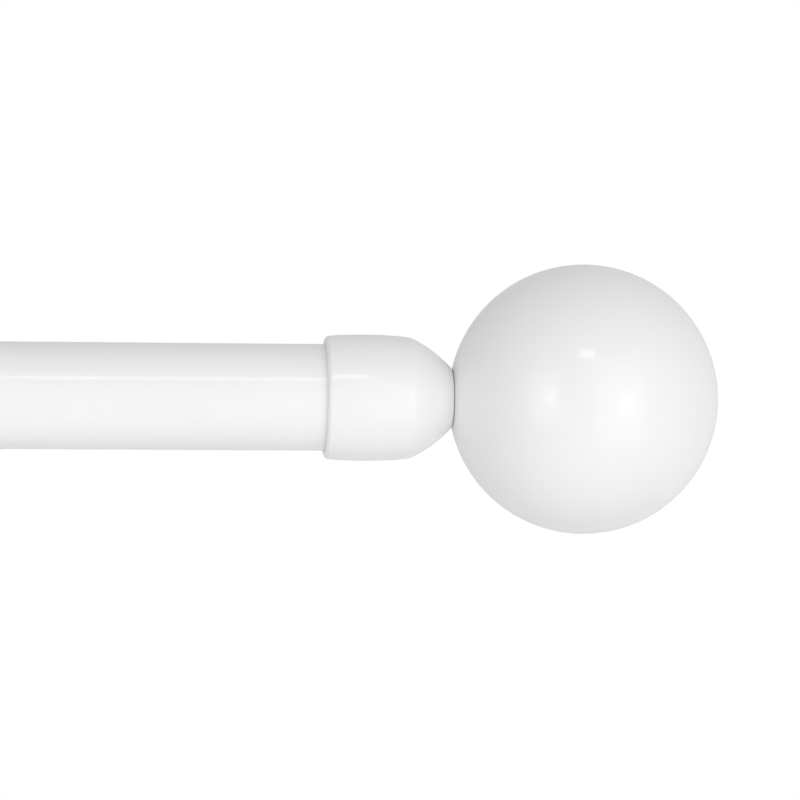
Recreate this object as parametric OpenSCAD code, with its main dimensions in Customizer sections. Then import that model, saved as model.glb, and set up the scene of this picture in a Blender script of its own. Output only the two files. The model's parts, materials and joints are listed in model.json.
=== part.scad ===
// Telescopic curtain rod with two ball finials and two adjustable wall brackets.
// Millimetres. +X runs along the rod towards its thick end, +Y points to the wall, +Z is up.
// The origin is the centre of the right-hand wall plate's back face.

/* [Rod] */
// Outer diameter of the thick tube
rod_d = 25.4; // [25:0.1:28]
// Outer diameter of the thin tube that slides inside the thick one
inner_d = 22.2; // [18:0.1:22.6]
// Wall thickness of both tubes
tube_wall = 0.8; // [0.6:0.1:1]
// Length of the thick tube
outer_len = 640; // [500:5:900]
// Length of the thin tube
inner_len = 660; // [500:5:760]
// Length of thin tube that stands out of the thick one
exposed_len = 176; // [150:1:250]

/* [Finials] */
// Diameter of the ball
ball_d = 64.6; // [50:0.1:76]
// Wall thickness of the hollow ball
ball_wall = 3; // [2:0.5:5]
// Greatest radius of the domed collar
collar_r = 15.05; // [14.95:0.05:16.5]
// Depth of tube that the collar takes
socket_depth = 16; // [14:0.5:17]
// Gap between the collar's tip and the ball
ball_gap = 0.3; // [0.2:0.05:0.6]

/* [Brackets] */
// Distance from the wall to the rod's axis
projection = 90; // [88:1:100]
// Distance from each bracket to the mouth of the nearest collar
bracket_inset = 115; // [90:1:130]
// Width of a wall plate
plate_w = 30; // [26:1:40]
// Height of a wall plate
plate_h = 76; // [70:1:100]
// Thickness of a wall plate
plate_t = 3.5; // [3:0.5:5]
// Distance between the two wall screw holes
screw_spacing = 56; // [50:1:62]
// Radius of a wall screw hole
screw_hole_r = 2.4; // [2:0.1:2.8]
// Wall thickness of the cup that holds the rod
cup_wall = 3; // [2.5:0.5:4]
// Width of the cup along the rod
cup_w = 20; // [16:1:24]
// Radius of the sliding arm bar
bar_r = 5; // [4.5:0.1:5.5]

/* [Hidden] */
SIDES = ["right", "left"];
$fn = 96;

slide_gap = 0.08;     // radial clearance of a running fit
body_gap = 0.3;       // space between faces of pieces that move apart
eps = 0.01;           // overlap that keeps a cut clean

rod_r = rod_d / 2;
inner_r = inner_d / 2;
outer_bore_r = rod_r - tube_wall;
inner_bore_r = inner_r - tube_wall;

// Places along the rod, from the right-hand bracket at x = 0
right_mouth_x = bracket_inset;
outer_end_x = right_mouth_x + socket_depth;
outer_mouth_x = outer_end_x - outer_len;
inner_end_x = outer_mouth_x - exposed_len;
hidden_end_x = inner_end_x + inner_len;
left_mouth_x = inner_end_x + socket_depth;
left_bracket_x = left_mouth_x + bracket_inset;

// Both cups are the same. The thin tube lies in the bottom of the left-hand one,
// which is fixed a little higher to keep the rod level.
cup_bore_r = rod_r + body_gap;
left_raise = cup_bore_r - body_gap - inner_r;

// Nylon guides of the two tubes
bush_depth = 25;
bush_lip = 1.5;
plug_depth = 18;
plug_wall = 2;
plug_flange = 3;
adapter_lip = 1.5;

// Domed collar. Distances run from its mouth along its axis. Its outline is a barrelled skirt,
// a tight shoulder and a long nose, each an arc that leaves off at the slope where the next starts.
socket_r = rod_r + slide_gap;
mouth_edge_r = 1;
crown_x = 9.5;
barrel_arc_r = 105;
shoulder_arc_r = 7.4;
nose_arc_r = 31.9;
barrel_end_slope = 5.2;
shoulder_end_slope = 27.8;
tip_slope = 47.6;
dome_cavity_r = 10.2;
dome_cavity_end = 18.2;

// M6 stud, the nut that is captive in the collar, and the ball's threaded insert and boss
stud_r = 3;
stud_hole_r = stud_r + body_gap;
stud_start = 17;
stud_len = 26;
nut_across_flats = 10;
nut_t = 5;
insert_r = 4.5;
insert_len = 12;
insert_depth = 1;
boss_r = 8;
boss_len = 18;

// M4 grub screw that locks the collar from behind
grub_r = 2;
grub_len = 3;
grub_x = 8;
grub_key_flats = 2;
grub_key_depth = 1.6;

// M5 screws
m5_r = 2.5;
m5_thread_r = 2.1;
m5_head_r = 4.6;
m5_head_t = 2.3;
m5_recess = 0.3;
m5_key_flats = 3;
m5_key_depth = 1.5;
plate_screw_len = 13.2;
cup_bolt_len = 17;

// Wall plate and the fixed sleeve of the arm, by distance from the wall
plate_boss_r = 12;
plate_boss_t = 4;
countersink_r = 4.6;
sleeve_r = 8;
sleeve_floor = 6;
sleeve_front = 55;
sleeve_lip_r = 9;
sleeve_lip = 4;
lock_y = 47;
lock_boss_r = 5.2;
lock_boss_end = 12;
bar_inner_y = 26;

// Cup, by distance from the rod's axis
cup_outer_r = cup_bore_r + cup_wall;
cup_rim_z = 8;
back_boss_r = 7.5;
back_boss_end = 21;
front_boss_r = 5.5;
front_boss_end = 19.5;
bolt_head_y = cup_bore_r + m5_recess;

// Thumb screw, by distance from its tip
thumb_len = 15.9;
knob_start = 8.9;
knob_bore_end = 16;
knob_r = 6.5;
knob_t = 9;
knob_hub_r = 4.2;
knob_hub = 1.2;
knob_flutes = 18;
flute_r = 0.7;

function direction(a) = [cos(a), sin(a)];
function arc(centre, r, from, to, steps = 10) =
    [for (i = [0:steps]) centre + r * direction(from + (to - from) * i / steps)];
function corner_r(across_flats) = across_flats / 2 / cos(30);

barrel_centre = [crown_x, collar_r - barrel_arc_r];
barrel_start_angle = 90 + asin((crown_x - mouth_edge_r) / barrel_arc_r);
barrel_start = barrel_centre + barrel_arc_r * direction(barrel_start_angle);
shoulder_centre = barrel_centre
    + (barrel_arc_r - shoulder_arc_r) * direction(90 - barrel_end_slope);
nose_centre = shoulder_centre
    + (shoulder_arc_r - nose_arc_r) * direction(90 - shoulder_end_slope);
tip = nose_centre + nose_arc_r * direction(90 - tip_slope);
mouth_edge_centre = [mouth_edge_r, barrel_start.y - mouth_edge_r];
collar_outline = concat(
    [[0, 0]],
    arc(mouth_edge_centre, mouth_edge_r, 180, 90, 6),
    arc(barrel_centre, barrel_arc_r, barrel_start_angle - 1, 90 - barrel_end_slope),
    arc(shoulder_centre, shoulder_arc_r, 88 - barrel_end_slope, 90 - shoulder_end_slope),
    arc(nose_centre, nose_arc_r, 88 - shoulder_end_slope, 90 - tip_slope),
    [[tip.x, 0]]);

// The ball has a small flat where it meets the collar's tip
ball_r = ball_d / 2;
ball_flat_r = tip.y + 0.2;
ball_flat_x = tip.x + ball_gap;
ball_x = ball_flat_x + sqrt(ball_r * ball_r - ball_flat_r * ball_flat_r);
ball_cavity_r = ball_r - ball_wall;
ball_centre = [ball_x, 0];
ball_outline = concat(
    arc(ball_centre, ball_r, 180 - asin(ball_flat_r / ball_r), 0, 48),
    arc(ball_centre, ball_cavity_r, 0, 180 - asin(boss_r / ball_cavity_r), 36),
    [[ball_flat_x + boss_len, boss_r],
     [ball_flat_x + boss_len, insert_r],
     [ball_flat_x + insert_depth, insert_r],
     [ball_flat_x + insert_depth, stud_hole_r],
     [ball_flat_x, stud_hole_r]]);

// A cylinder along X from x0 to x1
module along_x(r, x0, x1) {
    translate([x0, 0, 0]) rotate([0, 90, 0]) cylinder(r = r, h = x1 - x0);
}

// A cylinder along Y from y0 down to y1
module along_y(r, y0, y1) {
    translate([0, y1, 0]) rotate([-90, 0, 0]) cylinder(r = r, h = y0 - y1);
}

// A solid turned about the X axis, from an outline of distances along it and radii
module turned(outline) {
    rotate([0, 90, 0]) rotate_extrude() polygon([for (p = outline) [p.y, p.x]]);
}

// A hexagonal prism along +Z
module hexagon(across_flats, h) {
    cylinder(r = corner_r(across_flats), h = h, $fn = 6);
}

module at_rod() {
    translate([0, -projection, 0]) children();
}

module at_bracket(side) {
    if (side == "right") children();
    else translate([left_bracket_x, 0, left_raise]) children();
}

module at_finial(side) {
    if (side == "right") translate([right_mouth_x, -projection, 0]) children();
    else translate([left_mouth_x, -projection, 0]) mirror([1, 0, 0]) children();
}

// ---- Rod ----

module tube(r, x0, x1) {
    difference() {
        along_x(r, x0, x1);
        along_x(r - tube_wall, x0 - eps, x1 + eps);
    }
}

module outer_tube() {
    color("white") at_rod() tube(rod_r, outer_mouth_x, outer_end_x);
}

module inner_tube() {
    color("white") at_rod() tube(inner_r, inner_end_x, hidden_end_x);
}

// Nylon sleeve in the thick tube's mouth, in which the thin tube runs
module tube_bush() {
    color("whitesmoke") at_rod() difference() {
        union() {
            along_x(outer_bore_r, outer_mouth_x - eps, outer_mouth_x + bush_depth);
            along_x(rod_r, outer_mouth_x - bush_lip, outer_mouth_x);
        }
        along_x(inner_r + slide_gap, outer_mouth_x - bush_lip - eps, outer_mouth_x + bush_depth + eps);
    }
}

// Nylon plug in the thin tube's hidden end, which runs in the thick tube's bore
module guide_plug() {
    color("whitesmoke") at_rod() difference() {
        union() {
            along_x(inner_bore_r, hidden_end_x - plug_depth, hidden_end_x + eps);
            along_x(outer_bore_r - slide_gap, hidden_end_x, hidden_end_x + plug_flange);
        }
        along_x(inner_bore_r - plug_wall, hidden_end_x - plug_depth - eps, hidden_end_x + plug_flange + eps);
    }
}

// Nylon sleeve that fills the collar's socket round the thin tube
module end_adapter() {
    color("whitesmoke") at_rod() difference() {
        along_x(rod_r, inner_end_x, left_mouth_x + adapter_lip);
        along_x(inner_r, inner_end_x - eps, left_mouth_x + adapter_lip + eps);
    }
}

// ---- Finial ----

module collar(side) {
    color("white") at_finial(side) difference() {
        turned(collar_outline);
        along_x(socket_r, -eps, socket_depth);
        along_x(dome_cavity_r, socket_depth - eps, dome_cavity_end);
        along_x(stud_hole_r, dome_cavity_end - eps, tip.x + eps);
        translate([dome_cavity_end - eps, 0, 0]) rotate([0, 90, 0])
            hexagon(nut_across_flats + slide_gap, nut_t + eps);
        translate([grub_x, 0, 0]) along_y(grub_r, collar_r + 1, socket_r - 1);
    }
}

module captive_nut(side) {
    color("silver") at_finial(side) difference() {
        translate([dome_cavity_end, 0, 0]) rotate([0, 90, 0]) hexagon(nut_across_flats, nut_t);
        along_x(stud_r + slide_gap, dome_cavity_end - 1, dome_cavity_end + nut_t + 1);
    }
}

module grub_screw(side) {
    color("silver") at_finial(side) translate([grub_x, socket_r + grub_len, 0]) difference() {
        along_y(grub_r, 0, -grub_len);
        translate([0, eps, 0]) rotate([90, 0, 0]) hexagon(grub_key_flats, grub_key_depth);
    }
}

module stud(side) {
    color("silver") at_finial(side) along_x(stud_r, stud_start, stud_start + stud_len);
}

module ball_insert(side) {
    insert_x = ball_flat_x + insert_depth;
    color("gold") at_finial(side) difference() {
        along_x(insert_r, insert_x, insert_x + insert_len);
        along_x(stud_r + slide_gap, insert_x - 1, insert_x + insert_len + 1);
    }
}

// Hollow ball with a boss inside its neck for the threaded insert
module ball(side) {
    color("white") at_finial(side) turned(ball_outline);
}

// ---- Bracket ----

// M5 countersunk screw along -Y, with its head's flat at the origin
module countersunk(len) {
    difference() {
        union() {
            rotate([90, 0, 0]) cylinder(r1 = m5_head_r, r2 = m5_thread_r, h = m5_head_t);
            along_y(m5_thread_r, -m5_head_t + eps, -len);
        }
        translate([0, eps, 0]) rotate([90, 0, 0]) hexagon(m5_key_flats, m5_key_depth);
    }
}

// A flat plate with round ends, a boss for the arm and two countersunk wall screw holes
module wall_plate(side) {
    straight = plate_h - plate_w;
    front = plate_t + plate_boss_t;
    color("white") at_bracket(side) difference() {
        union() {
            for (z = [-1, 1]) translate([0, 0, z * straight / 2]) along_y(plate_w / 2, 0, -plate_t);
            translate([-plate_w / 2, -plate_t, -straight / 2]) cube([plate_w, plate_t, straight]);
            along_y(plate_boss_r, -plate_t + eps, -front);
        }
        for (z = [-1, 1]) translate([0, 0, z * screw_spacing / 2]) {
            along_y(screw_hole_r, 1, -plate_t - 1);
            translate([0, -plate_t, 0]) rotate([-90, 0, 0])
                cylinder(r1 = countersink_r, r2 = screw_hole_r, h = countersink_r - screw_hole_r);
        }
        along_y(m5_r + slide_gap, 1, -front - 1);
        rotate([90, 0, 0])
            cylinder(r1 = m5_head_r + m5_recess, r2 = m5_r, h = m5_head_t + m5_recess);
    }
}

// Holds the sleeve on the plate from behind
module plate_screw(side) {
    color("silver") at_bracket(side) translate([0, -m5_recess, 0]) countersunk(plate_screw_len);
}

// Fixed tube of the arm, closed at the wall end, with a boss below for its lock screw
module arm_sleeve(side) {
    base_y = -plate_t - plate_boss_t;
    color("white") at_bracket(side) difference() {
        union() {
            along_y(sleeve_r, base_y, -sleeve_front);
            along_y(sleeve_lip_r, -sleeve_front + sleeve_lip, -sleeve_front);
            translate([0, -lock_y, -lock_boss_end]) cylinder(r = lock_boss_r, h = lock_boss_end);
        }
        along_y(bar_r + slide_gap, base_y - sleeve_floor, -sleeve_front - eps);
        along_y(m5_thread_r, base_y + eps, base_y - sleeve_floor - eps);
        translate([0, -lock_y, -lock_boss_end - eps]) cylinder(r = m5_r + slide_gap, h = lock_boss_end);
    }
}

// Round bar that carries the cup and slides in the sleeve
module arm_bar(side) {
    cup_end = -projection + back_boss_end;
    color("white") at_bracket(side) difference() {
        along_y(bar_r, -bar_inner_y, cup_end);
        along_y(m5_thread_r, cup_end + cup_bolt_len - back_boss_end + bolt_head_y, cup_end - eps);
    }
}

// The U of the cup, open at the top and rounded at its two rims
module cup_section() {
    difference() {
        union() {
            circle(r = cup_outer_r);
            translate([-cup_outer_r, 0]) square([2 * cup_outer_r, cup_rim_z]);
        }
        circle(r = cup_bore_r);
        translate([-cup_bore_r, 0]) square([2 * cup_bore_r, cup_outer_r]);
        translate([-cup_outer_r - 1, cup_rim_z]) square([2 * cup_outer_r + 2, cup_outer_r]);
    }
    for (s = [-1, 1]) translate([s * (cup_bore_r + cup_wall / 2), cup_rim_z]) circle(r = cup_wall / 2);
}

// U-shaped cup with bosses for the arm bar and for the screw that clamps the rod
module cup(side) {
    color("white") at_bracket(side) at_rod() difference() {
        union() {
            translate([-cup_w / 2, 0, 0]) rotate([90, 0, 90]) linear_extrude(cup_w) cup_section();
            along_y(back_boss_r, back_boss_end, cup_bore_r + 1);
            along_y(front_boss_r, -cup_bore_r - 1, -front_boss_end);
        }
        along_y(m5_r + slide_gap, -cup_bore_r + 2, -front_boss_end - 1);
        along_y(m5_r + slide_gap, back_boss_end + 1, cup_bore_r - 2);
        along_y(m5_head_r + 0.2, bolt_head_y, cup_bore_r - 3);
        translate([0, bolt_head_y - eps, 0]) rotate([-90, 0, 0])
            cylinder(r1 = m5_head_r + 0.2, r2 = m5_r, h = m5_head_t);
    }
}

// Holds the cup on the end of the arm bar, from inside the cup
module cup_bolt(side) {
    color("silver") at_bracket(side) at_rod() translate([0, bolt_head_y, 0])
        mirror([0, 1, 0]) countersunk(cup_bolt_len);
}

// ---- Thumb screws, with the tip at the origin and the knob towards +Z ----

module thumb_screw() {
    color("silver") cylinder(r = m5_r, h = thumb_len);
}

module knob() {
    color("white") difference() {
        union() {
            translate([0, 0, knob_start]) cylinder(r = knob_hub_r, h = knob_hub + eps);
            translate([0, 0, knob_start + knob_hub]) linear_extrude(knob_t - knob_hub) difference() {
                circle(r = knob_r);
                for (i = [0:knob_flutes - 1]) rotate(i * 360 / knob_flutes)
                    translate([knob_r + 0.2, 0]) circle(r = flute_r, $fn = 24);
            }
        }
        translate([0, 0, knob_start - eps]) cylinder(r = m5_r + slide_gap, h = knob_bore_end - knob_start);
    }
}

// Through the front of the cup, with its tip body_gap clear of the tube
module at_rod_screw(side) {
    tube_r = side == "right" ? rod_r : inner_r;
    at_bracket(side) at_rod() translate([0, -tube_r - body_gap, 0]) rotate([90, 0, 0]) children();
}

// Up through the sleeve's boss, with its tip body_gap clear of the bar
module at_arm_screw(side) {
    at_bracket(side) translate([0, -lock_y, -bar_r - body_gap]) mirror([0, 0, 1]) children();
}

outer_tube();
tube_bush();
inner_tube();
guide_plug();
end_adapter();
for (side = SIDES) {
    collar(side);
    captive_nut(side);
    grub_screw(side);
    stud(side);
    ball_insert(side);
    ball(side);
    wall_plate(side);
    plate_screw(side);
    arm_sleeve(side);
    arm_bar(side);
    cup(side);
    cup_bolt(side);
    at_rod_screw(side) thumb_screw();
    at_rod_screw(side) knob();
    at_arm_screw(side) thumb_screw();
    at_arm_screw(side) knob();
}
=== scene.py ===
import json
import math

import bmesh
import bpy
from mathutils import Matrix, Vector


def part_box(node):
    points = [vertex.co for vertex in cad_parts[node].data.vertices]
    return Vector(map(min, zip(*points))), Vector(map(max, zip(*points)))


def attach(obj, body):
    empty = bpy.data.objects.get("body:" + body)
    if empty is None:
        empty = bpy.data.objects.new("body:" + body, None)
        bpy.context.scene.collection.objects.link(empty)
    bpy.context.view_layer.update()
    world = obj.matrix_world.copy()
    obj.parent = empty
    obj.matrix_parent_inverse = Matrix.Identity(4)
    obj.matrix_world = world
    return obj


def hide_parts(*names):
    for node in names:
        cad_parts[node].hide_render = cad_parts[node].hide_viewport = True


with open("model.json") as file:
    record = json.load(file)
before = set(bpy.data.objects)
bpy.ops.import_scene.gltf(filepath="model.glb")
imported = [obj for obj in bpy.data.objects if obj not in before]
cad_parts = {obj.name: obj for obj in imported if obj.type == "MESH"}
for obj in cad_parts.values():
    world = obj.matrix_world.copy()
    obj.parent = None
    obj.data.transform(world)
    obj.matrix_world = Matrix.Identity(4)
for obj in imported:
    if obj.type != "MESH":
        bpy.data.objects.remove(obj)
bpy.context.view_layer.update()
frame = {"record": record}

# Shapes are worked out in millimetres and placed in the frame's metres.
MM = 0.001
SIDES = ("right", "left")
RECORD = frame["record"]
BODY_OF = {node: body for body, nodes in RECORD["behaviour"]["bodies"].items() for node in nodes}
SLOT_OF = {part["node"]: part["material_slot"] for part in RECORD["subparts"]}


def box(node):
    """Lowest and highest corner of a CAD node, in millimetres."""
    low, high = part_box(node)
    return low / MM, high / MM


def middle(node):
    low, high = box(node)
    return (low + high) / 2


# ---------------------------------------------------------------- places in the frame

ROD_AXIS = middle("outer_tube")
ROD_R = (box("outer_tube")[1].z - box("outer_tube")[0].z) / 2
INNER_R = (box("inner_tube")[1].z - box("inner_tube")[0].z) / 2
TUBE_WALL = 0.8
MOUTH_X = {"right": box("collar_right")[0].x, "left": box("collar_left")[1].x}
OUTWARD = {"right": 1, "left": -1}
BRACKET = {}
for side in SIDES:
    plate = middle(f"wall_plate_{side}")
    BRACKET[side] = Vector((plate.x, 0, plate.z))


def place(origin, along, up):
    """Matrix that carries local +Z to along and local +X to up, from millimetres to metres."""
    z = Vector(along).normalized()
    x = Vector(up).normalized()
    y = z.cross(x)
    turn = Matrix((x, y, z)).transposed().to_4x4()
    return Matrix.Translation(Vector(origin) * MM) @ turn @ Matrix.Scale(MM, 4)


def along_rod(x=0.0, sign=1):
    """Local +Z runs along the rod from x, to the right or, with sign -1, to the left."""
    return place((x, ROD_AXIS.y, ROD_AXIS.z), (sign, 0, 0), (0, 1, 0))


# ---------------------------------------------------------------- outlines

def arc(centre, radius, start, end, steps):
    """Points along an arc, from and to an angle in degrees."""
    angles = [math.radians(start + (end - start) * i / steps) for i in range(steps + 1)]
    return [(centre[0] + radius * math.cos(a), centre[1] + radius * math.sin(a)) for a in angles]


ROUNDING_STEPS = 5


def rounded(corners):
    """A closed outline whose corners (x, y, radius) are rounded off."""
    points = []
    for i, (x, y, radius) in enumerate(corners):
        here = Vector((x, y))
        before = Vector(corners[i - 1][:2]) - here
        after = Vector(corners[(i + 1) % len(corners)][:2]) - here
        if radius == 0:
            points.append((x, y))
            continue
        before.normalize()
        after.normalize()
        half = before.angle(after) / 2
        centre = here + (before + after).normalized() * radius / math.sin(half)
        first = here + before * radius / math.tan(half) - centre
        last = here + after * radius / math.tan(half) - centre
        turn = first.angle_signed(last)
        for k in range(ROUNDING_STEPS + 1):
            p = centre + Matrix.Rotation(-turn * k / ROUNDING_STEPS, 2) @ first
            points.append((p.x, p.y))
    return points


# ---------------------------------------------------------------- meshes

def turned(outline, segments=128, angles=None, loop=True):
    """A solid turned about local Z, from points (along, radius).

    A radius may be a function of (angle, along).
    """
    angles = angles or [2 * math.pi * i / segments for i in range(segments)]
    bm = bmesh.new()
    rings = []
    for along, radius in outline:
        if not callable(radius) and radius < 1e-6:
            rings.append([bm.verts.new((0, 0, along))])
            continue
        ring = []
        for a in angles:
            r = radius(a, along) if callable(radius) else radius
            ring.append(bm.verts.new((r * math.cos(a), r * math.sin(a), along)))
        rings.append(ring)
    pairs = list(zip(rings, rings[1:]))
    if loop:
        pairs.append((rings[-1], rings[0]))
    for one, two in pairs:
        bridge(bm, one, two)
    bmesh.ops.recalc_face_normals(bm, faces=bm.faces)
    return bm


def bridge(bm, one, two):
    """Faces between two closed rings of vertices, either of which may be a single point."""
    if len(one) == 1 and len(two) == 1:
        return
    for i in range(max(len(one), len(two))):
        corners = [one[i % len(one)], one[(i + 1) % len(one)], two[(i + 1) % len(two)], two[i % len(two)]]
        bm.faces.new(list(dict.fromkeys(corners)))


def lofted(loops):
    """A solid through loops of points, each with the same number of points."""
    bm = bmesh.new()
    rings = [[bm.verts.new(p) for p in loop] for loop in loops]
    for one, two in zip(rings, rings[1:]):
        bridge(bm, one, two)
    bm.faces.new(rings[0])
    bm.faces.new(rings[-1])
    bmesh.ops.recalc_face_normals(bm, faces=bm.faces)
    return bm


def as_object(bm, name):
    mesh = bpy.data.meshes.new(name)
    bm.to_mesh(mesh)
    bm.free()
    made = bpy.data.objects.new(name, mesh)
    bpy.context.scene.collection.objects.link(made)
    return made


def apply_modifiers(thing):
    graph = bpy.context.evaluated_depsgraph_get()
    result = bpy.data.meshes.new_from_object(thing.evaluated_get(graph))
    thing.modifiers.clear()
    thing.data = result


# Corners closer than this after a cut or a join are made one.
WELD = 0.002


def combined(solid, others, operation):
    """solid with others joined on or cut away, all as bmeshes in the same local space."""
    base = as_object(solid, "solid")
    for other in others:
        tool = as_object(other, "tool")
        step = base.modifiers.new("boolean", "BOOLEAN")
        step.operation = operation
        step.solver = "EXACT"
        step.object = tool
        apply_modifiers(base)
        bpy.data.objects.remove(tool)
    bm = bmesh.new()
    bm.from_mesh(base.data)
    bpy.data.objects.remove(base)
    bmesh.ops.remove_doubles(bm, verts=bm.verts, dist=WELD)
    return bm


def moved(bm, matrix):
    """bm carried by matrix, which may mirror it."""
    bm.transform(matrix)
    if matrix.determinant() < 0:
        bmesh.ops.reverse_faces(bm, faces=bm.faces)
    return bm


# Edges that turn more than this stay sharp.
SHARP = math.radians(34)


def show(bm, node, matrix):
    """The finished piece that stands for a CAD node: placed, shaded, with its material and on its body."""
    moved(bm, matrix)
    for face in bm.faces:
        face.smooth = True
    for edge in bm.edges:
        edge.smooth = not (len(edge.link_faces) == 2 and edge.calc_face_angle() > SHARP)
    piece = as_object(bm, node + ".shown")
    weights = piece.modifiers.new("weighted_normals", "WEIGHTED_NORMAL")
    weights.keep_sharp = True
    apply_modifiers(piece)
    piece.data.materials.clear()
    piece.data.materials.append(MATERIALS[SLOT_OF[node]])
    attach(piece, BODY_OF[node])
    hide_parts(node)
    return piece


# ---------------------------------------------------------------- materials

def node_material(name):
    material = bpy.data.materials.new(name)
    material.use_nodes = True
    tree = material.node_tree
    shader = tree.nodes["Principled BSDF"]
    coordinates = tree.nodes.new("ShaderNodeTexCoord").outputs["Object"]
    return material, tree, shader, coordinates


def noise(tree, coordinates, size, detail=3.0, stretch=(1, 1, 1)):
    """Noise whose features are about size millimetres across."""
    mapping = tree.nodes.new("ShaderNodeMapping")
    mapping.inputs["Scale"].default_value = stretch
    tree.links.new(coordinates, mapping.inputs["Vector"])
    texture = tree.nodes.new("ShaderNodeTexNoise")
    texture.inputs["Scale"].default_value = 1 / (size * MM)
    texture.inputs["Detail"].default_value = detail
    tree.links.new(mapping.outputs["Vector"], texture.inputs["Vector"])
    return texture.outputs["Fac"]


def between(tree, factor, low, high, start=0.3, end=0.7):
    """A value from low to high as factor goes from start to end."""
    node = tree.nodes.new("ShaderNodeMapRange")
    node.inputs["From Min"].default_value = start
    node.inputs["From Max"].default_value = end
    node.inputs["To Min"].default_value = low
    node.inputs["To Max"].default_value = high
    tree.links.new(factor, node.inputs["Value"])
    return node.outputs["Result"]


def mixed(tree, factor, one, two):
    """A colour between one and two."""
    node = tree.nodes.new("ShaderNodeMix")
    node.data_type = "RGBA"
    tree.links.new(factor, node.inputs["Factor"])
    node.inputs[6].default_value = (*one, 1)
    node.inputs[7].default_value = (*two, 1)
    return node.outputs[2]


def grey(value):
    return (value, value, value)


def bumped(tree, height, depth, under=None):
    """A normal with bumps depth millimetres deep, on top of another normal."""
    node = tree.nodes.new("ShaderNodeBump")
    node.inputs["Strength"].default_value = 1
    node.inputs["Distance"].default_value = depth * MM
    tree.links.new(height, node.inputs["Height"])
    if under is not None:
        tree.links.new(under, node.inputs["Normal"])
    return node.outputs["Normal"]


def enamel(name, light, dark, roughness, coat, peel):
    """White stoved enamel: a hard clear gloss over a softer body, with a faint orange peel."""
    material, tree, shader, coordinates = node_material(name)
    cloud = noise(tree, coordinates, 38)
    tree.links.new(mixed(tree, between(tree, cloud, 0, 1), light, dark), shader.inputs["Base Color"])
    smear = noise(tree, coordinates, 9, 4)
    tree.links.new(between(tree, smear, roughness - 0.03, roughness + 0.05), shader.inputs["Roughness"])
    waves = bumped(tree, noise(tree, coordinates, 2.4, 1), peel)
    grain = bumped(tree, noise(tree, coordinates, 0.35, 2), peel / 12, waves)
    tree.links.new(grain, shader.inputs["Normal"])
    shader.inputs["IOR"].default_value = 1.5
    shader.inputs["Coat Weight"].default_value = coat
    shader.inputs["Coat Roughness"].default_value = 0.075
    shader.inputs["Coat IOR"].default_value = 1.5
    return material


def plastic(name, light, dark, roughness, grain_depth, subsurface):
    """Moulded plastic: fine-grained, and a little translucent."""
    material, tree, shader, coordinates = node_material(name)
    cloud = noise(tree, coordinates, 6)
    tree.links.new(mixed(tree, between(tree, cloud, 0, 1), light, dark), shader.inputs["Base Color"])
    smear = noise(tree, coordinates, 2, 4)
    tree.links.new(between(tree, smear, roughness - 0.05, roughness + 0.08), shader.inputs["Roughness"])
    tree.links.new(bumped(tree, noise(tree, coordinates, 0.25, 2), grain_depth), shader.inputs["Normal"])
    shader.inputs["Subsurface Weight"].default_value = subsurface
    shader.inputs["Subsurface Radius"].default_value = (1.0, 0.9, 0.8)
    shader.inputs["Subsurface Scale"].default_value = 0.6 * MM
    return material


def metal(name, light, dark, roughness, depth):
    """Plated or turned metal with fine scratches and a cloudy tone."""
    material, tree, shader, coordinates = node_material(name)
    cloud = noise(tree, coordinates, 3, 4)
    tree.links.new(mixed(tree, between(tree, cloud, 0, 1), light, dark), shader.inputs["Base Color"])
    scratches = noise(tree, coordinates, 0.4, 3, (1, 6, 6))
    tree.links.new(between(tree, scratches, roughness - 0.08, roughness + 0.12), shader.inputs["Roughness"])
    tree.links.new(bumped(tree, scratches, depth), shader.inputs["Normal"])
    shader.inputs["Metallic"].default_value = 1
    return material


MATERIALS = {
    "tube_enamel": enamel("tube_enamel", grey(0.872), grey(0.855), 0.42, 0.5, 0.004),
    "finial_enamel": enamel("finial_enamel", grey(0.872), grey(0.855), 0.42, 0.6, 0.006),
    "bracket_enamel": enamel("bracket_enamel", grey(0.865), grey(0.84), 0.42, 0.5, 0.008),
    "knob_plastic": plastic("knob_plastic", (0.85, 0.85, 0.84), (0.82, 0.82, 0.8), 0.38, 0.006, 0.1),
    "nylon": plastic("nylon", (0.82, 0.82, 0.78), (0.78, 0.78, 0.73), 0.5, 0.004, 0.3),
    "zinc_steel": metal("zinc_steel", (0.68, 0.69, 0.71), (0.58, 0.59, 0.61), 0.3, 0.003),
    "brass": metal("brass", (0.80, 0.64, 0.33), (0.70, 0.53, 0.24), 0.28, 0.003),
}

# ---------------------------------------------------------------- tubes and their nylon guides

SEAM_DEPTH = 0.05
SEAM_HALF = math.radians(1.2)
SEAM_AT = math.radians(-20)
TUBE_ROUND = 0.25
TUBE_ROWS = 40
SLIDE_GAP = 0.08


def seam_angles(segments):
    """Angles round a welded tube, close together at its seam."""
    away = [SEAM_AT + SEAM_HALF + (2 * math.pi - 2 * SEAM_HALF) * i / segments for i in range(segments + 1)]
    near = [SEAM_AT + SEAM_HALF * k for k in (-0.5, -0.25, 0, 0.25, 0.5)]
    return away + near


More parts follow.
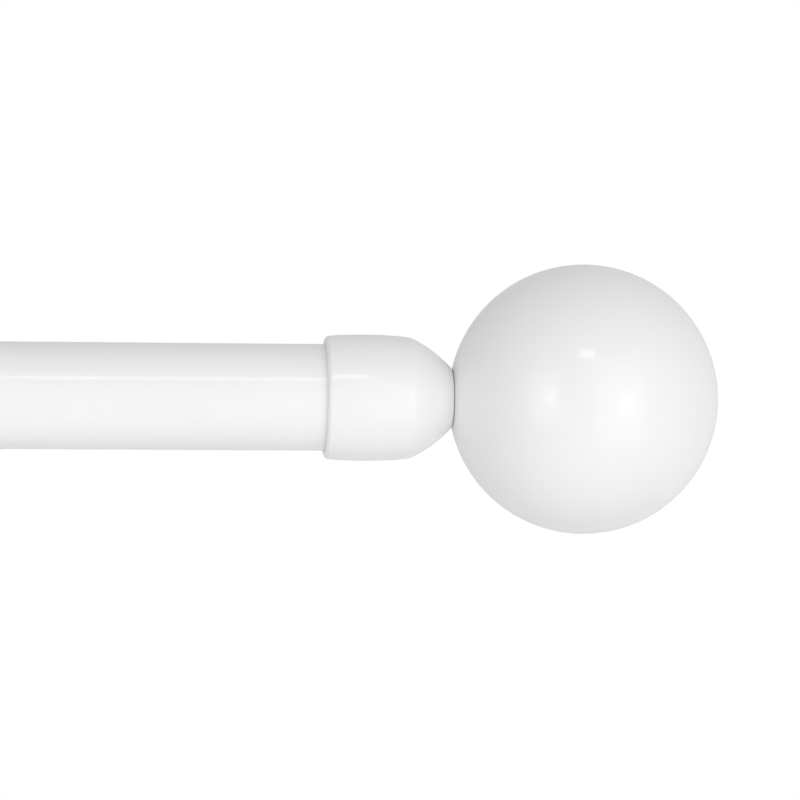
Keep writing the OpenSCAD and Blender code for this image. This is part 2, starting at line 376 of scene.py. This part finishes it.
def tube_outline(length, radius):
    """Section of a tube from along = 0, with rounded ends. The outer radius dips along the weld seam."""
    def outer(angle, _):
        off = abs(math.remainder(angle - SEAM_AT, 2 * math.pi)) / SEAM_HALF
        return radius - SEAM_DEPTH * max(0, 1 - off) ** 0.5 if off < 1 else radius
    bore = radius - TUBE_WALL
    corners = [(0, bore), (0, radius), (length, radius), (length, bore)]
    ends = rounded([(along, r, TUBE_ROUND) for along, r in corners])
    quarter = len(ends) // 4
    outline = ends[:2 * quarter]
    outline += [(length * k / TUBE_ROWS, radius) for k in range(1, TUBE_ROWS)]
    outline += ends[2 * quarter:]
    outline += [(length * k / TUBE_ROWS, bore) for k in range(TUBE_ROWS - 1, 0, -1)]
    return [(a, outer if abs(r - radius) < 1e-4 else r) for a, r in outline]


def tube(node, radius):
    low, high = box(node)
    bm = turned(tube_outline(high.x - low.x, radius), angles=seam_angles(144))
    show(bm, node, along_rod(low.x))


def sleeve(node, corners):
    """A turned nylon sleeve, from corners (x along the rod, radius, rounding)."""
    show(turned(rounded(corners), segments=128), node, along_rod())


def make_rod():
    tube("outer_tube", ROD_R)
    tube("inner_tube", INNER_R)
    bore = ROD_R - TUBE_WALL
    inner_bore = INNER_R - TUBE_WALL

    lip, end = box("tube_bush")[0].x, box("tube_bush")[1].x
    mouth = box("outer_tube")[0].x
    lip_r = ROD_R - 0.05
    guide_r = INNER_R + SLIDE_GAP
    sleeve("tube_bush", [
        (lip, guide_r, 0.3), (lip, lip_r, 0.5), (mouth, lip_r, 0.1), (mouth, bore, 0),
        (end, bore, 0.2), (end, guide_r, 0.2)])

    end, stop = box("guide_plug")[0].x, box("guide_plug")[1].x
    hidden = box("inner_tube")[1].x
    hollow_r = inner_bore - 2
    head_r = bore - SLIDE_GAP
    sleeve("guide_plug", [
        (end, hollow_r, 0.3), (end, inner_bore, 0.3), (hidden, inner_bore, 0), (hidden, head_r, 0.2),
        (stop, head_r, 0.8), (stop, hollow_r, 0.3)])

    start, lip = box("end_adapter")[0].x, box("end_adapter")[1].x
    sleeve("end_adapter", [
        (start, INNER_R, 0.2), (start, ROD_R, 0.4), (lip, ROD_R, 0.4), (lip, INNER_R, 0.2)])


# ---------------------------------------------------------------- finials

# Collar: distances are from its mouth, and slopes are in degrees.
SOCKET_R = ROD_R + SLIDE_GAP
SOCKET_DEPTH = 16
CROWN_X = 9.5
COLLAR_R = (box("collar_right")[1].z - box("collar_right")[0].z) / 2
MOUTH_ROUND = 1.15
BARREL_R, SHOULDER_R, NOSE_R = 105, 7.4, 31.9
BARREL_END, SHOULDER_END, TIP_SLOPE = 5.2, 27.8, 47.6
GRUB_X = 8
NUT_X, NUT_LEN, NUT_FLATS, NUT_R = 18.2, 5, 10, 5.55
STUD_R, STUD_PITCH, STUD_THREAD = 3, 1.0, 0.5
STUD_HOLE_R = 3.3
TAPPED_R = 3.08
BALL_R = (box("ball_right")[1].z - box("ball_right")[0].z) / 2
BALL_WALL = 3
BALL_GAP = 0.3
BALL_SEAT = 0.22
INSERT_X, INSERT_LEN, INSERT_R = 1, 12, 4.5


def collar_outline():
    """Section of the collar: barrelled skirt, tight shoulder, long nose, then the bores behind them."""
    def toward(centre, radius, slope):
        a = math.radians(slope)
        return (centre[0] + radius * math.sin(a), centre[1] + radius * math.cos(a))
    barrel = (CROWN_X, COLLAR_R - BARREL_R)
    shoulder = toward(barrel, BARREL_R - SHOULDER_R, BARREL_END)
    nose = toward(shoulder, SHOULDER_R - NOSE_R, SHOULDER_END)
    tip = toward(nose, NOSE_R, TIP_SLOPE)
    start = 90 + math.degrees(math.asin((CROWN_X - MOUTH_ROUND) / BARREL_R))
    top = arc(barrel, BARREL_R, start, start, 1)[0]
    outside = arc((MOUTH_ROUND, top[1] - MOUTH_ROUND), MOUTH_ROUND, 180, 95, 8)
    outside += arc(barrel, BARREL_R, start, 90 - BARREL_END, 22)
    outside += arc(shoulder, SHOULDER_R, 89 - BARREL_END, 90 - SHOULDER_END, 14)
    outside += arc(nose, NOSE_R, 89 - SHOULDER_END, 90.6 - TIP_SLOPE, 16)
    edge = 0.25
    outside += [(tip[0] - edge * 0.35, tip[1] - edge * 0.1), (tip[0], tip[1] - edge)]
    bevel = 0.3
    pocket_end, pocket_r, recess_r = NUT_X + NUT_LEN, 5.8, 10.2
    inside = [
        (tip[0], STUD_HOLE_R + bevel), (tip[0] - bevel, STUD_HOLE_R), (pocket_end + 0.1, STUD_HOLE_R),
        (pocket_end, pocket_r), (NUT_X, pocket_r), (NUT_X, recess_r), (SOCKET_DEPTH, recess_r),
        (SOCKET_DEPTH, SOCKET_R), (bevel, SOCKET_R), (0, SOCKET_R + bevel)]
    return outside + inside, tip


COLLAR_OUTLINE, COLLAR_TIP = collar_outline()
BALL_FLAT_R = COLLAR_TIP[1] + 0.2
BALL_FLAT_X = COLLAR_TIP[0] + BALL_GAP
BALL_X = BALL_FLAT_X + math.sqrt(BALL_R ** 2 - BALL_FLAT_R ** 2)


def ball_outline():
    """Section of the hollow ball: outside, cavity, then the boss that holds its insert and the seat on it."""
    boss_r, boss_len = 8, 18
    seat_x = BALL_FLAT_X - BALL_SEAT
    boss_end, insert_x = BALL_FLAT_X + boss_len, BALL_FLAT_X + INSERT_X
    cavity_r = BALL_R - BALL_WALL
    centre = (BALL_X, 0)
    flat_angle = 180 - math.degrees(math.asin(BALL_FLAT_R / BALL_R))
    outside = arc(centre, BALL_R, flat_angle - 0.35, 0, 110)
    cavity = arc(centre, cavity_r, 0, 180 - math.degrees(math.asin(boss_r / cavity_r)), 30)
    neck = [
        (boss_end, boss_r), (boss_end, INSERT_R), (insert_x, INSERT_R), (insert_x, STUD_HOLE_R),
        (seat_x + 0.3, STUD_HOLE_R), (seat_x, STUD_HOLE_R + 0.3),
        (seat_x, BALL_FLAT_R - 0.5), (seat_x + 0.05, BALL_FLAT_R - 0.3)]
    outside[-1] = (outside[-1][0], 0)
    cavity[0] = (cavity[0][0], 0)
    return outside + cavity + neck


def hexagon(across_flats, limit=None):
    """Radius of a hexagonal bar at an angle, turned down to limit."""
    def radius(angle, _):
        flat = across_flats / 2 / math.cos((angle % (math.pi / 3)) - math.pi / 6)
        return min(flat, limit) if limit else flat
    return radius


def thread(radius, pitch, depth, start, end):
    """Radius of a threaded bar at an angle and a place along it, with a lead-in at each end."""
    crest, lead = 0.12, 1.2

    def at(angle, along):
        phase = (along / pitch - angle / (2 * math.pi)) % 1
        flank = abs(phase - 0.5) * 2
        groove = depth * min(1, max(0, (flank - crest) / (1 - 2 * crest)))
        left = min(along - start, end - along)
        if left < lead:
            return min(radius - groove, radius - depth + left * depth / lead)
        return radius - groove
    return at


def threaded_rows(start, end, pitch):
    """Places along a thread, ten to a turn."""
    count = round((end - start) / pitch * 10)
    return [start + (end - start) * i / count for i in range(count + 1)]


def threaded_bar(length, radius, pitch, depth):
    """A threaded bar from along = 0."""
    at = thread(radius, pitch, depth, 0, length)
    rows = [(z, at) for z in threaded_rows(0, length, pitch)]
    return turned([(0, 0)] + rows + [(length, 0)], segments=64, loop=False)


def hex_nut():
    """The captive nut, with its corners turned down at both faces."""
    end = NUT_X + NUT_LEN
    chamfer, relief = 0.45, 0.4
    low, full = hexagon(NUT_FLATS, 5.0), hexagon(NUT_FLATS, NUT_R)
    return turned([
        (NUT_X, 3.4), (NUT_X, low), (NUT_X + chamfer, full), (end - chamfer, full), (end, low), (end, 3.4),
        (end - relief, TAPPED_R), (NUT_X + relief, TAPPED_R)], segments=96)


def knurled_insert():
    """The ball's threaded insert: two knurled bands with a groove between them."""
    knurls, knurl_depth = 32, 0.12
    start = BALL_FLAT_X + INSERT_X
    end = start + INSERT_LEN
    band, groove_r, edge_r = 4.6, 4.1, 4.2

    def knurl(angle, _):
        return INSERT_R - knurl_depth * (0.5 + 0.5 * math.cos(knurls * angle))
    return turned([
        (start, 3.4), (start, edge_r), (start + 0.3, knurl), (start + band, knurl), (start + 5, groove_r),
        (start + 7, groove_r), (start + 7.4, knurl), (end - 0.3, knurl), (end, edge_r), (end, 3.4),
        (end - 0.4, TAPPED_R), (start + 0.4, TAPPED_R)], segments=192)


def grub(length):
    """The collar's set screw, with its tip at along = 0 and a hexagonal socket in its other end."""
    socket_depth = 1.5
    return turned([
        (0, 0), (0, 1.2), (0.4, 1.6), (0.5, 2), (length - 0.2, 2), (length, 1.75), (length, hexagon(2.2)),
        (length - socket_depth, hexagon(2)), (length - socket_depth - 0.1, 0)], segments=96, loop=False)


def make_finial(side):
    sign = OUTWARD[side]
    mouth = along_rod(MOUTH_X[side], sign)
    mirrored = along_rod(MOUTH_X[side]) @ Matrix.Diagonal((1, 1, sign, 1))
    hole = moved(turned([(10, 0), (10, 2), (18, 2), (18, 0)], segments=48, loop=False),
                 Matrix.Translation((0, 0, GRUB_X)) @ Matrix.Rotation(math.pi / 2, 4, "Y"))
    collar = combined(turned(COLLAR_OUTLINE, segments=192), [hole], "DIFFERENCE")
    show(collar, f"collar_{side}", mirrored)
    show(turned(ball_outline(), segments=224), f"ball_{side}", mouth)
    show(hex_nut(), f"captive_nut_{side}", mouth)

    low, high = box(f"stud_{side}")
    stud = threaded_bar(high.x - low.x, STUD_R, STUD_PITCH, STUD_THREAD)
    show(stud, f"stud_{side}", along_rod(low.x if sign > 0 else high.x, sign))
    show(knurled_insert(), f"ball_insert_{side}", mouth)

    low, high = box(f"grub_screw_{side}")
    x = middle(f"grub_screw_{side}").x
    show(grub(high.y - low.y), f"grub_screw_{side}", place((x, low.y, ROD_AXIS.z), (0, 1, 0), (1, 0, 0)))


make_rod()
for side in SIDES:
    make_finial(side)


# ---------------------------------------------------------------- brackets

# Holes in the brackets: running clearance for an M5 screw, and a plain hole for an M4 one.
M5_HOLE_R = 2.58
M5_MOUTH_R = 3.1
M4_HOLE_R = 2.1
M5_R, M5_PITCH, M5_THREAD = 2.5, 0.8, 0.38


def at_wall(side, y=0.0):
    """Local +Z leaves the wall, local +X is up, from the middle of the wall plate."""
    x, _, z = BRACKET[side]
    return place((x, y, z), (0, -1, 0), (0, 0, 1))


def quarter_turn(steps):
    """Angles from 0 to a right angle, in radians."""
    return [math.pi / 2 * k / steps for k in range(steps + 1)]


def stadium(half_straight, radius, height, steps=32):
    """Loop of a plate with round ends, long along local X."""
    loop = []
    for end in (1, -1):
        for i in range(steps + 1):
            a = math.pi * (i / steps - 0.5) + (0 if end > 0 else math.pi)
            loop.append((end * half_straight + radius * math.cos(a), radius * math.sin(a), height))
    return loop


def plate_blank(half_straight, radius, thickness):
    """Plate with round ends, its front edge rounded and its back edge eased."""
    edge, back_edge = 1.1, 0.25
    loops = [stadium(half_straight, radius - back_edge, 0), stadium(half_straight, radius, back_edge)]
    for a in quarter_turn(6):
        reach = radius - edge + edge * math.cos(a)
        loops.append(stadium(half_straight, reach, thickness - edge + edge * math.sin(a)))
    return lofted(loops)


def coved_boss(base, front):
    """Round boss on a plate whose face is at base, with a cove at its foot."""
    cove, radius, edge = 1.5, 12, 0.8
    outline = [(base - 1, 0), (base - 1, radius + cove)]
    outline += [(base + cove - cove * math.sin(a), radius + cove - cove * math.cos(a))
                for a in reversed(quarter_turn(6))]
    outline += arc((front - edge, radius - edge), edge, 90, 0, 5)
    outline += [(front, 0)]
    return turned(outline, loop=False)


def make_plate(side):
    low, high = box(f"wall_plate_{side}")
    half_straight = (high.z - low.z - high.x + low.x) / 2
    front = high.y - low.y
    thickness, screw_z, hole_r = 3.5, 28, 2.4
    blank = plate_blank(half_straight, (high.x - low.x) / 2, thickness)
    plate = combined(blank, [coved_boss(thickness, front)], "UNION")
    beyond = thickness + 0.5
    cutters = []
    for sign in (-1, 1):
        sink = turned([
            (-1, 0), (-1, hole_r + 0.25), (0, hole_r + 0.25), (0.25, hole_r), (1.3, hole_r),
            (thickness - 0.2, 4.4), (thickness, 4.75), (beyond, 5.2), (beyond, 0)], segments=64, loop=False)
        cutters.append(moved(sink, Matrix.Translation((sign * screw_z, 0, 0))))
    cutters.append(turned([
        (-1, 0), (-1, 5.2), (0, 5.1), (0.2, 4.7), (2.6, M5_HOLE_R), (front + 1, M5_HOLE_R), (front + 1, 0)],
        segments=64, loop=False))
    show(combined(plate, cutters, "DIFFERENCE"), f"wall_plate_{side}", at_wall(side))


def make_sleeve(side):
    low, high = box(f"arm_sleeve_{side}")
    base, front = -high.y, -low.y
    barrel_r, rim_r, rim_len, bore_r, floor_t = 8, 9, 4, 5.08, 6
    body = turned(rounded([
        (base, M4_HOLE_R, 0), (base, barrel_r, 0), (front - rim_len, barrel_r, 0.8),
        (front - rim_len, rim_r, 0.5), (front, rim_r, 0.8), (front, bore_r, 0.5),
        (base + floor_t, bore_r, 0.6), (base + floor_t, M4_HOLE_R, 0.2)]))
    lock_y, boss_r, boss_end, edge = 47, 5.2, 12, 0.7
    to_boss = Matrix.Translation((0, 0, lock_y)) @ Matrix.Rotation(-math.pi / 2, 4, "Y")
    rim = arc((boss_end - edge, boss_r - edge), edge, 90, 0, 5)
    boss = turned([(6, 0), (6, boss_r), *rim, (boss_end, 0)], segments=96, loop=False)
    beyond = boss_end + 0.1
    hole = turned([(3, 0), (3, M5_HOLE_R), (boss_end - 0.4, M5_HOLE_R), (beyond, M5_MOUTH_R), (beyond, 0)],
                  segments=64, loop=False)
    body = combined(body, [moved(boss, to_boss)], "UNION")
    show(combined(body, [moved(hole, to_boss)], "DIFFERENCE"), f"arm_sleeve_{side}", at_wall(side))


def make_bar(side):
    low, high = box(f"arm_bar_{side}")
    start, end = -high.y, -low.y
    bar_r, hole_depth, drill_point = 5, 14, 1
    hole_end = end - hole_depth
    outline = rounded([
        (start, 0, 0), (start, bar_r, 0.8), (end, bar_r, 0.5), (end, M4_HOLE_R, 0.2),
        (hole_end, M4_HOLE_R, 0), (hole_end - drill_point, 0, 0)])
    show(turned(outline, loop=False), f"arm_bar_{side}", at_wall(side))


CUP_BORE_R = ROD_R + 0.3
CUP_WALL = 3
CUP_RIM_Z = 8


def cup_loop(half, along):
    """Outline of the cup's U at a distance along the rod, for half the wall's thickness.

    Local X is up, and local Y is across the rod.
    """
    middle_r = CUP_BORE_R + CUP_WALL / 2
    line = []
    rise, turn, rim = 6, 48, 10
    for i in range(rise):
        line.append((CUP_RIM_Z * (1 - i / rise), middle_r, (0, 1)))
    for i in range(turn + 1):
        a = math.pi * i / turn
        line.append((-middle_r * math.sin(a), middle_r * math.cos(a), (-math.sin(a), math.cos(a))))
    for i in range(1, rise + 1):
        line.append((CUP_RIM_Z * i / rise, -middle_r, (0, -1)))
    outer = [(x + half * n[0], y + half * n[1], along) for x, y, n in line]
    inner = [(x - half * n[0], y - half * n[1], along) for x, y, n in reversed(line)]

    def cap(y, sign):
        angles = [math.pi * i / rim for i in range(1, rim)]
        return [(CUP_RIM_Z + half * math.sin(a), y + sign * half * math.cos(a), along) for a in angles]
    return outer + cap(-middle_r, -1) + inner + cap(middle_r, -1)


def cup_blank(half_width):
    """The U with rounded edges, before its bosses and holes."""
    edge = 0.6
    loops = []
    for end in (-1, 1):
        angles = quarter_turn(5)
        for a in angles if end < 0 else reversed(angles):
            half = CUP_WALL / 2 - edge + edge * math.sin(a)
            loops.append(cup_loop(half, end * (half_width - edge + edge * math.cos(a))))
    return lofted(loops)


def cup_boss(foot_r, cove_r, radius, cove_end, end):
    """Boss on the outside of the cup, from inside its wall to end, with a cove at its foot."""
    start, edge = CUP_BORE_R + 1, 0.6
    rim = arc((end - edge, radius - edge), edge, 90, 0, 5)
    return turned([
        (start, 0), (start, foot_r), (CUP_BORE_R + 3, cove_r), (CUP_BORE_R + cove_end, radius), *rim,
        (end, 0)], segments=96, loop=False)


def make_cup(side):
    x, _, z = BRACKET[side]
    low, high = box(f"cup_{side}")
    to_back = Matrix.Rotation(-math.pi / 2, 4, "X")
    to_front = Matrix.Rotation(math.pi, 4, "X") @ to_back
    back_end, front_end = 21, 19.5
    back = cup_boss(8.6, 8.2, 7.5, 3.6, back_end)
    front = cup_boss(6.4, 6.1, 5.5, 3.5, front_end)
    cup = combined(cup_blank((high.x - low.x) / 2), [moved(back, to_back), moved(front, to_front)], "UNION")
    within, head_r = CUP_BORE_R - 3, 4.8
    sink = turned([
        (within, 0), (within, head_r), (CUP_BORE_R + 0.3, head_r), (CUP_BORE_R + 2.6, M5_HOLE_R),
        (back_end + 1, M5_HOLE_R), (back_end + 1, 0)], segments=64, loop=False)
    beyond = front_end + 0.1
    hole = turned([
        (within, 0), (within, M5_HOLE_R), (front_end - 0.4, M5_HOLE_R), (beyond, M5_MOUTH_R), (beyond, 0)],
        segments=64, loop=False)
    cup = combined(cup, [moved(sink, to_back), moved(hole, to_front)], "DIFFERENCE")
    show(cup, f"cup_{side}", place((x, ROD_AXIS.y, z), (1, 0, 0), (0, 0, 1)))


def countersunk(length):
    """Countersunk socket screw from its head's flat at along = 0."""
    socket_depth, neck = 1.5, 2.5
    at = thread(2.45, M5_PITCH, M5_THREAD, neck - 0.1, length)
    head = [
        (socket_depth, 0), (socket_depth, hexagon(3)), (0.1, hexagon(3)), (0, hexagon(3.3)),
        (0, 4.2), (0.25, 4.5), (0.5, 4.4), (2.3, 2.4)]
    rows = [(z, at) for z in threaded_rows(neck, length, M5_PITCH)]
    return turned(head + rows + [(length, 0)], segments=96, loop=False)


def make_bolts(side):
    low, high = box(f"plate_screw_{side}")
    show(countersunk(high.y - low.y), f"plate_screw_{side}", at_wall(side, high.y))
    low, high = box(f"cup_bolt_{side}")
    x, _, z = BRACKET[side]
    show(countersunk(high.y - low.y), f"cup_bolt_{side}", place((x, low.y, z), (0, 1, 0), (0, 0, 1)))


# Thumb screws: distances are from the shank's tip.
SHANK_LEN = 15.9
KNOB_X, KNOB_LEN, KNOB_HUB, KNOB_R = 8.9, 9, 1.2, 6.5
KNOB_FLUTES, FLUTE_DEPTH = 18, 0.55


def fluted(most):
    """Radius of the knob at an angle, with flutes that run out towards its rounded ends."""
    depth = FLUTE_DEPTH * min(1, max(0, (most - 5.6) / 0.8))
    return lambda angle, _: most - depth * (0.5 + 0.5 * math.cos(KNOB_FLUTES * angle)) ** 3


def knob_solid():
    """Moulded knob: a narrow hub, a fluted grip with rounded ends and a slightly crowned face."""
    hub_r, blind_end = 4.2, KNOB_X + 7.1
    start, end = KNOB_X + KNOB_HUB, KNOB_X + KNOB_LEN
    back_edge, front_edge, front_drop = 0.8, 0.85, 1.2
    grip_start, grip_len = start + back_edge, end - start - 2.0
    outline = [
        (KNOB_X, M5_HOLE_R), (KNOB_X, 4.0), (KNOB_X + 0.2, hub_r), (start - 0.1, hub_r),
        (start, 4.4), (start, 5.3)]
    outline += [(grip_start - back_edge * math.sin(a), fluted(KNOB_R - back_edge + back_edge * math.cos(a)))
                for a in reversed(quarter_turn(6))]
    outline += [(grip_start + grip_len * k / 4, fluted(KNOB_R)) for k in range(1, 5)]
    outline += [(end - front_drop + front_edge * math.sin(a), fluted(KNOB_R - 0.9 + 0.9 * math.cos(a)))
                for a in quarter_turn(6)[1:]]
    outline += [(end - 0.22, 4.9), (end - 0.08, 4.0), (end, 2.8), (end, 0)]
    outline += [(blind_end, 0), (blind_end, M5_HOLE_R)]
    return turned(outline, segments=KNOB_FLUTES * 12)


def make_thumb_screw(shank, knob, tip, direction, up):
    """Threaded shank with its tip at a point, and the fluted knob on its other end."""
    spot = place(tip, direction, up)
    show(threaded_bar(SHANK_LEN, M5_R, M5_PITCH, M5_THREAD), shank, spot)
    show(knob_solid(), knob, spot)


def make_thumb_screws(side):
    x, z = middle(f"rod_screw_{side}").xz
    tip = (x, box(f"rod_screw_{side}")[1].y, z)
    make_thumb_screw(f"rod_screw_{side}", f"rod_knob_{side}", tip, (0, -1, 0), (0, 0, 1))
    x, y = middle(f"arm_screw_{side}").xy
    tip = (x, y, box(f"arm_screw_{side}")[1].z)
    make_thumb_screw(f"arm_screw_{side}", f"arm_knob_{side}", tip, (0, 0, -1), (1, 0, 0))


for side in SIDES:
    make_plate(side)
    make_sleeve(side)
    make_bar(side)
    make_cup(side)
    make_bolts(side)
    make_thumb_screws(side)

# ---------------------------------------------------------------- studio

scene = bpy.context.scene
scene.view_settings.view_transform = "Standard"

CAMERA_AZIMUTH, CAMERA_ELEVATION, CAMERA_ROLL = -5.5, 0.6, 0.45
CAMERA_DISTANCE = 0.8
LENS, SENSOR = 150.8, 36
LOOK_AT = Vector((MOUTH_X["right"] + 18.15, ROD_AXIS.y, -0.5)) * MM
ROOM_LEVEL = 0.70
ROOM_SLOPE = Vector((0.16, 0, -0.11))
# Azimuth off the camera's, elevation, focus and level.
HOT_SPOTS = [(33, -1, 120, 1.9), (-32, 2, 130, 1.8)]
# Name, azimuth off the camera's, elevation, distance, size and power, in degrees, metres and watts.
SOFTBOXES = [
    ("window_right", 30, -2, 1.6, (1.35, 2.2), 6.2),
    ("bounce", 0, -68, 0.7, (0.9, 0.9), 0.45),
    ("window_left", -35.5, 1, 1.6, (0.8, 1.3), 3.6),
    ("lamp_right", 35.4, -7.4, 1.6, (0.34, 0.2), 0.3),
    ("lamp_left", -30, 1.7, 1.6, (0.2, 0.24), 0.2),
    ("lamp_above", 2.8, 39.0, 1.5, (0.34, 0.2), 0.75),
]


def direction(azimuth, elevation):
    """Unit vector from the object towards a viewer at an azimuth and an elevation in degrees.

    A viewer at azimuth 0 looks along +Y.
    """
    a, e = math.radians(azimuth), math.radians(elevation)
    return Vector((math.sin(a) * math.cos(e), -math.cos(a) * math.cos(e), math.sin(e)))


def facing_object(away, distance):
    """Matrix of a camera or lamp that stands off the right-hand end and looks at it."""
    turn = away.to_track_quat("Z", "Y").to_matrix().to_4x4()
    return Matrix.Translation(LOOK_AT + away * distance) @ turn


def make_camera():
    data = bpy.data.cameras.new("camera")
    data.lens = LENS
    data.sensor_width = SENSOR
    camera = bpy.data.objects.new("camera", data)
    scene.collection.objects.link(camera)
    roll = Matrix.Rotation(math.radians(CAMERA_ROLL), 4, "Z")
    camera.matrix_world = facing_object(direction(CAMERA_AZIMUTH, CAMERA_ELEVATION), CAMERA_DISTANCE) @ roll
    scene.camera = camera


def softbox(name, azimuth, elevation, distance, size, power):
    """A rectangular light that faces the right-hand end."""
    data = bpy.data.lights.new(name, "AREA")
    data.shape = "RECTANGLE"
    data.size, data.size_y = size
    data.energy = power
    lamp = bpy.data.objects.new(name, data)
    lamp.matrix_world = facing_object(direction(CAMERA_AZIMUTH + azimuth, elevation), distance)
    lamp.visible_camera = False
    scene.collection.objects.link(lamp)


def make_world():
    """White behind the object, which is lit by a pale room with two brighter places in front."""
    world = bpy.data.worlds.new("studio")
    scene.world = world
    world.use_nodes = True
    tree = world.node_tree
    tree.nodes.clear()
    towards = tree.nodes.new("ShaderNodeTexCoord").outputs["Generated"]

    def along(axis):
        node = tree.nodes.new("ShaderNodeVectorMath")
        node.operation = "DOT_PRODUCT"
        node.inputs[1].default_value = axis
        tree.links.new(towards, node.inputs[0])
        return node.outputs["Value"]

    def calculated(operation, *values):
        node = tree.nodes.new("ShaderNodeMath")
        node.operation = operation
        for socket, value in zip(node.inputs, values):
            if isinstance(value, bpy.types.NodeSocket):
                tree.links.new(value, socket)
            else:
                socket.default_value = value
        return node.outputs["Value"]

    strength = calculated("MULTIPLY_ADD", along(ROOM_SLOPE), 1, ROOM_LEVEL)
    for azimuth, elevation, focus, level in HOT_SPOTS:
        towards_spot = along(direction(CAMERA_AZIMUTH + azimuth, elevation))
        spot = calculated("POWER", calculated("MAXIMUM", towards_spot, 0), focus)
        strength = calculated("MULTIPLY_ADD", spot, level, strength)
    lit = tree.nodes.new("ShaderNodeBackground")
    tree.links.new(strength, lit.inputs["Strength"])
    seen = tree.nodes.new("ShaderNodeBackground")
    for background in (lit, seen):
        background.inputs["Color"].default_value = (1, 1, 1, 1)
    path = tree.nodes.new("ShaderNodeLightPath")
    mix = tree.nodes.new("ShaderNodeMixShader")
    out = tree.nodes.new("ShaderNodeOutputWorld")
    tree.links.new(path.outputs["Is Camera Ray"], mix.inputs["Fac"])
    tree.links.new(lit.outputs["Background"], mix.inputs[1])
    tree.links.new(seen.outputs["Background"], mix.inputs[2])
    tree.links.new(mix.outputs["Shader"], out.inputs["Surface"])


def make_floor():
    material, tree, shader, coordinates = node_material("floor")
    cloud = noise(tree, coordinates, 300)
    tone = mixed(tree, between(tree, cloud, 0, 1), grey(0.9), grey(0.88))
    tree.links.new(tone, shader.inputs["Base Color"])
    shader.inputs["Roughness"].default_value = 0.7
    centre = middle("outer_tube") * MM
    reach, depth, top, thickness = 1.2, 1.0, -0.9, 0.02
    corners = [(-1, -1), (1, -1), (1, 1), (-1, 1)]
    bm = lofted([[(centre.x + x * reach, centre.y + y * depth, z) for x, y in corners]
                 for z in (top - thickness, top)])
    floor = as_object(bm, "floor")
    floor.data.materials.append(material)


make_camera()
make_world()
make_floor()
for lamp in SOFTBOXES:
    softbox(*lamp)
